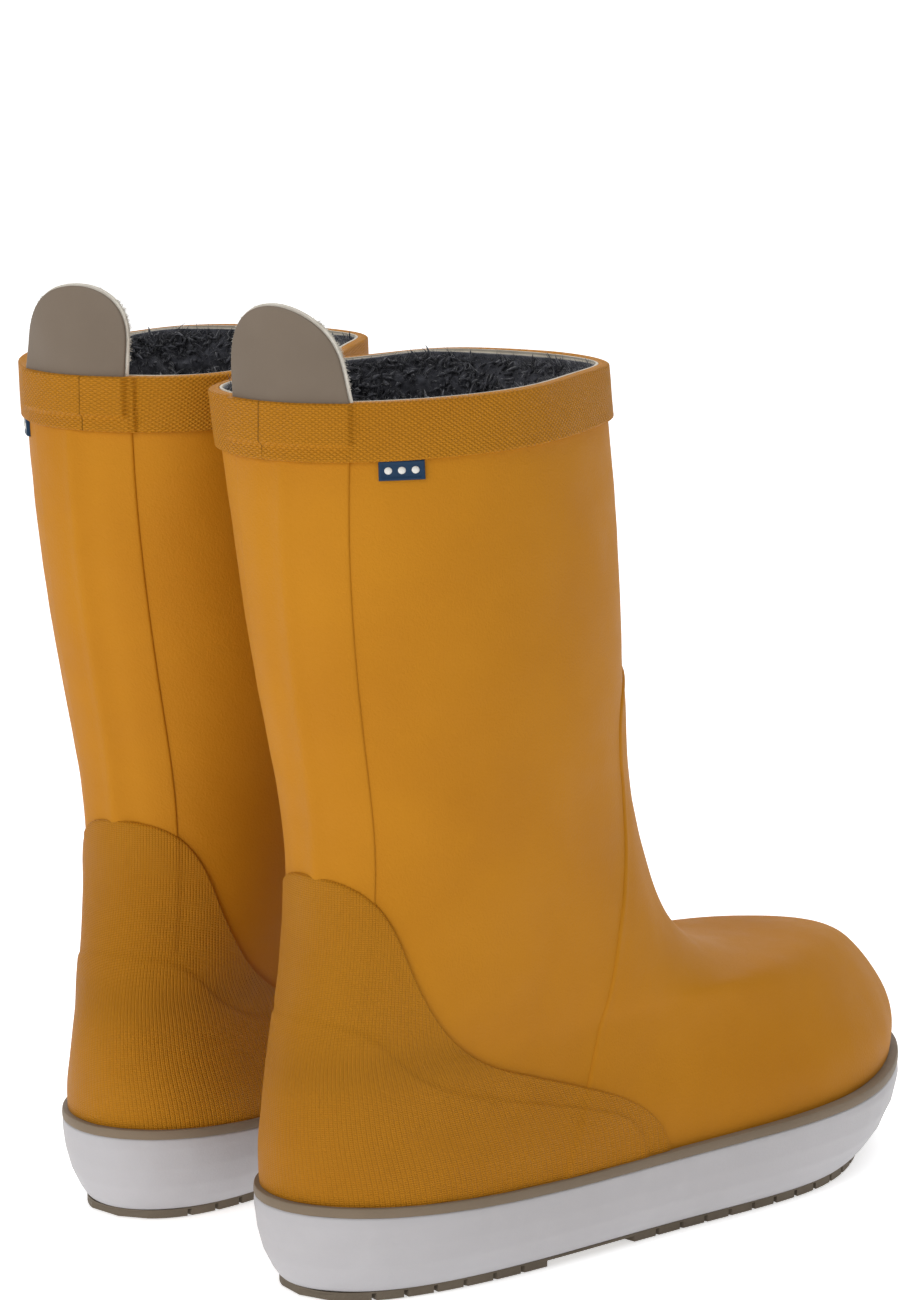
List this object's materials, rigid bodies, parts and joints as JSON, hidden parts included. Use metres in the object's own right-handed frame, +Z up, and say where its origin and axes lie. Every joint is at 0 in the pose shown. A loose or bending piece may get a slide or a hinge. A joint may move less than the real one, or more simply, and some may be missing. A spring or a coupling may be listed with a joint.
{
  "type": "deck boots",
  "caption": "Pair of yellow rubber deck boots with grey pile lining, a rim band, a pull tab at the back of each leg and a pale sidewall over a flat grooved tread.",
  "frame": {"origin": "centre of the pair's bounding box, on the floor the treads stand on", "axes": "+Z up, +Y towards the toes, +X towards the wearer's right"},
  "size_m": [0.2704, 0.3372, 0.321],
  "materials": {
    "yellow_rubber": "matte, fine woven grain",
    "yellow_rubber_weave": "matte, basket-weave emboss",
    "yellow_rubber_diamond": "matte, diamond emboss",
    "canvas": "cotton canvas",
    "stiff_rubber": "dull",
    "grey_pile": "shaggy pile",
    "taupe_rubber": "satin",
    "pale_felt": "felt, frayed edge",
    "navy_badge": "satin",
    "pale_badge": "satin",
    "pale_rubber": "satin",
    "stripe_rubber": "satin",
    "filler_foam": "closed-cell foam",
    "tread_rubber": "dull",
    "fibre_board": "pressed fibre",
    "spring_steel": "ribbed strip",
    "footbed_foam": "foam"
  },
  "bodies": {
    "right_boot": {"right_upper_shell": "yellow_rubber", "right_canvas_backing": "canvas", "right_toe_puff": "stiff_rubber", "right_pile_lining": "grey_pile", "right_vamp": "yellow_rubber", "right_heel_stiffener": "yellow_rubber", "right_back_stay": "yellow_rubber", "right_heel_counter": "yellow_rubber_weave", "right_rim_band": "yellow_rubber_diamond", "right_pull_tab_root": "taupe_rubber", "right_badge_plate": "navy_badge", "right_badge_studs": "pale_badge", "right_sole_sidewall": "pale_rubber", "right_sole_stripe": "stripe_rubber", "right_midsole": "filler_foam", "right_tread": "tread_rubber", "right_insole_board": "fibre_board", "right_shank": "spring_steel"},
    "left_boot": {"left_upper_shell": "yellow_rubber", "left_canvas_backing": "canvas", "left_toe_puff": "stiff_rubber", "left_pile_lining": "grey_pile", "left_vamp": "yellow_rubber", "left_heel_stiffener": "yellow_rubber", "left_back_stay": "yellow_rubber", "left_heel_counter": "yellow_rubber_weave", "left_rim_band": "yellow_rubber_diamond", "left_pull_tab_root": "taupe_rubber", "left_badge_plate": "navy_badge", "left_badge_studs": "pale_badge", "left_sole_sidewall": "pale_rubber", "left_sole_stripe": "stripe_rubber", "left_midsole": "filler_foam", "left_tread": "tread_rubber", "left_insole_board": "fibre_board", "left_shank": "spring_steel"},
    "right_pull_tab": {"right_pull_tab_face": "taupe_rubber", "right_pull_tab_felt": "pale_felt"},
    "right_footbed": {"right_footbed_foam": "footbed_foam", "right_footbed_cover": "grey_pile"},
    "left_pull_tab": {"left_pull_tab_face": "taupe_rubber", "left_pull_tab_felt": "pale_felt"},
    "left_footbed": {"left_footbed_foam": "footbed_foam", "left_footbed_cover": "grey_pile"}
  },
  "joints": [
    {"name": "left_boot_lift", "type": "slide", "parent": "right_boot", "child": "left_boot", "axis": [0, 0, 1], "range_m": [0, 0.35]},
    {"name": "right_pull_tab_bend", "type": "hinge", "parent": "right_boot", "child": "right_pull_tab", "pos_m": [0.05655, -0.16469, 0.2935], "axis": [0.9998, 0.0195, 0], "range_deg": [-10, 75], "stiffness_Nm_per_rad": 0.04},
    {"name": "right_footbed_lift", "type": "hinge", "parent": "right_boot", "child": "right_footbed", "pos_m": [0.08493, 0.11888, 0.03071], "axis": [-0.9925, 0.1219, 0], "range_deg": [0, 7.5]},
    {"name": "left_pull_tab_bend", "type": "hinge", "parent": "left_boot", "child": "left_pull_tab", "pos_m": [-0.05655, -0.13709, 0.2935], "axis": [0.9998, -0.0195, 0], "range_deg": [-10, 75], "stiffness_Nm_per_rad": 0.04},
    {"name": "left_footbed_lift", "type": "hinge", "parent": "left_boot", "child": "left_footbed", "pos_m": [-0.08493, 0.14648, 0.03071], "axis": [-0.9925, -0.1219, 0], "range_deg": [0, 7.5]}
  ]
}
